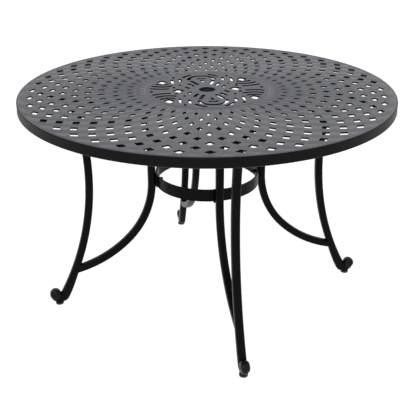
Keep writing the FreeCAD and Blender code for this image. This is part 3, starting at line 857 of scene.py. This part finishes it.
post_section = bar_section(LEG_DEPTH, POST_WIDTH)
brace_section = bar_section(LEG_DEPTH, BRACE_WIDTH)
for leg, azimuth in LEGS.items():
    swept(leg + "_post_bar", post_stations(), post_section, azimuth, leg + "_post")
    swept(leg + "_brace_bar", brace_stations(), brace_section, azimuth, leg + "_brace")
    scroll_roll(leg + "_scroll_roll", azimuth)
    foot_boss(leg + "_foot_boss", azimuth)


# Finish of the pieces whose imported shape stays

def finish_node(name, material, bevel=0):
    """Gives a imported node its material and, where asked, softened edges."""
    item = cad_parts[name]
    item.data.materials.clear()
    item.data.materials.append(material)
    if bevel > 0:
        rounding = item.modifiers.new("edge", "BEVEL")
        rounding.width = bevel
        rounding.segments = 2
        rounding.limit_method = "ANGLE"
        rounding.angle_limit = math.radians(50)
    return item


def finish_medallion():
    """The medallion coat, in the top's lighter colour of painted light, on its face and in the
    umbrella hole, and a darker coat of painted shade inside its slots.
    """
    medallion = finish_node("centre_medallion", MEDALLION_COAT, bevel=0.25 * MM)
    medallion.data.materials.append(PAINTED_SHADE_COAT)
    hole_reach = HOLE_RADIUS + 0.5 * MM
    least_rise = 0.7
    for face in medallion.data.polygons:
        in_hole = math.hypot(face.center.x, face.center.y) < hole_reach
        faces_up = face.normal.z > least_rise
        face.material_index = 0 if faces_up or in_hole else 1


finish_medallion()
# The collar takes the top's lighter coat of painted light, which lightens the inside of the umbrella
# hole.
finish_node("umbrella_collar", TOP_PAINTED_LIGHT_COAT)
finish_node("ring_hoop", LEG_COAT)
for fasteners in ("ring_studs", "ring_washers", "ring_cap_nuts", "top_bolts", "top_washers"):
    finish_node(fasteners, STEEL)
for leg in LEGS:
    # The mount plates under the top take the darker coat of painted shade.
    finish_node(leg + "_post_plate", PAINTED_SHADE_COAT)
    finish_node(leg + "_brace_plate", PAINTED_SHADE_COAT)
    finish_node(leg + "_ring_saddle", LEG_COAT)
    finish_node(leg + "_threaded_insert", ZINC)
    finish_node(leg + "_leveller_stud", ZINC)
    finish_node(leg + "_leveller_pad", PLASTIC)


# Camera at the photograph's viewing angle

CAMERA_AZIMUTH = math.radians(-12.0)
CAMERA_DISTANCE = 2.308
CAMERA_HEIGHT = 1.3951
CAMERA_PITCH = math.radians(25.25)
CAMERA_AIM = math.radians(0.07)
CAMERA_LENS = 65.7
SENSOR_WIDTH = 36


def add_camera():
    data = bpy.data.cameras.new("camera")
    data.sensor_width = SENSOR_WIDTH
    data.lens = CAMERA_LENS
    data.clip_end = 100
    camera = bpy.data.objects.new("camera", data)
    bpy.context.collection.objects.link(camera)
    camera.location = (
        CAMERA_DISTANCE * math.sin(CAMERA_AZIMUTH),
        -CAMERA_DISTANCE * math.cos(CAMERA_AZIMUTH),
        CAMERA_HEIGHT,
    )
    camera.rotation_euler = (math.pi / 2 - CAMERA_PITCH, 0, CAMERA_AZIMUTH - CAMERA_AIM)
    bpy.context.scene.camera = camera


# Studio: soft lamps, white surroundings and a pale floor

SURROUND_LIGHT = 0.08
FLOOR_REACH = 12
FLOOR_GREY = 0.6
FLOOR_GLOW = 1.3
GLOW_SHARE = 0.8


def add_area(name, location, target, size, power):
    data = bpy.data.lights.new(name, "AREA")
    data.shape = "RECTANGLE"
    data.size = size[0]
    data.size_y = size[1]
    data.energy = power
    lamp = bpy.data.objects.new(name, data)
    bpy.context.collection.objects.link(lamp)
    lamp.location = location
    aim = Vector(target) - Vector(location)
    lamp.rotation_euler = aim.to_track_quat("-Z", "Y").to_euler()


def seen_ray(nodes, links):
    """1 for a ray that shows its end: from the camera, a mirror or glass. 0 for one that lights."""
    path = nodes.new("ShaderNodeLightPath")
    mirrored = nodes.new("ShaderNodeMath")
    mirrored.operation = "MAXIMUM"
    links.new(path.outputs["Is Camera Ray"], mirrored.inputs[0])
    links.new(path.outputs["Is Glossy Ray"], mirrored.inputs[1])
    seen = nodes.new("ShaderNodeMath")
    seen.operation = "MAXIMUM"
    links.new(mirrored.outputs[0], seen.inputs[0])
    links.new(path.outputs["Is Transmission Ray"], seen.inputs[1])
    return seen.outputs[0]


def add_world():
    """White where it is seen, and dim where it lights the table."""
    world = bpy.data.worlds.new("studio")
    bpy.context.scene.world = world
    world.use_nodes = True
    nodes = world.node_tree.nodes
    links = world.node_tree.links
    nodes.clear()
    seen = seen_ray(nodes, links)
    dim = nodes.new("ShaderNodeBackground")
    dim.inputs["Color"].default_value = (1, 1, 1, 1)
    dim.inputs["Strength"].default_value = SURROUND_LIGHT
    white = nodes.new("ShaderNodeBackground")
    white.inputs["Color"].default_value = (1, 1, 1, 1)
    white.inputs["Strength"].default_value = 1
    mix = nodes.new("ShaderNodeMixShader")
    links.new(seen, mix.inputs["Fac"])
    links.new(dim.outputs[0], mix.inputs[1])
    links.new(white.outputs[0], mix.inputs[2])
    output = nodes.new("ShaderNodeOutputWorld")
    links.new(mix.outputs[0], output.inputs["Surface"])


def add_floor():
    """A pale floor that keeps the table's shadow, and is lifted towards white where it is seen."""
    reach = FLOOR_REACH
    corners = [(-reach, -reach, 0), (reach, -reach, 0), (reach, reach, 0), (-reach, reach, 0)]
    mesh = bpy.data.meshes.new("floor")
    mesh.from_pydata(corners, [], [(0, 1, 2, 3)])
    floor = bpy.data.objects.new("floor", mesh)
    bpy.context.collection.objects.link(floor)
    material = bpy.data.materials.new("floor")
    material.use_nodes = True
    nodes = material.node_tree.nodes
    links = material.node_tree.links
    shader = nodes["Principled BSDF"]
    shader.inputs["Base Color"].default_value = (FLOOR_GREY, FLOOR_GREY, FLOOR_GREY, 1)
    shader.inputs["Roughness"].default_value = 0.9
    shader.inputs["Specular IOR Level"].default_value = 0
    glow = nodes.new("ShaderNodeEmission")
    glow.inputs["Strength"].default_value = FLOOR_GLOW
    share = nodes.new("ShaderNodeMath")
    share.operation = "MULTIPLY"
    share.inputs[1].default_value = GLOW_SHARE
    links.new(seen_ray(nodes, links), share.inputs[0])
    mix = nodes.new("ShaderNodeMixShader")
    links.new(share.outputs[0], mix.inputs["Fac"])
    links.new(shader.outputs[0], mix.inputs[1])
    links.new(glow.outputs[0], mix.inputs[2])
    links.new(mix.outputs[0], nodes["Material Output"].inputs["Surface"])
    mesh.materials.append(material)


add_camera()
add_world()
add_floor()
add_area("overhead", (0.35, 0.5, 2.6), target=(0, 0, 0.7), size=(2.6, 2.2), power=29)
add_area("back", (1.1, 3.2, 1.8), target=(0, 0, 0.6), size=(4.0, 2.0), power=9)
add_area("front", (-1.2, -2.6, 2.4), target=(0, 0, 0.2), size=(0.8, 0.8), power=22)
bpy.context.scene.view_settings.view_transform = "Standard"
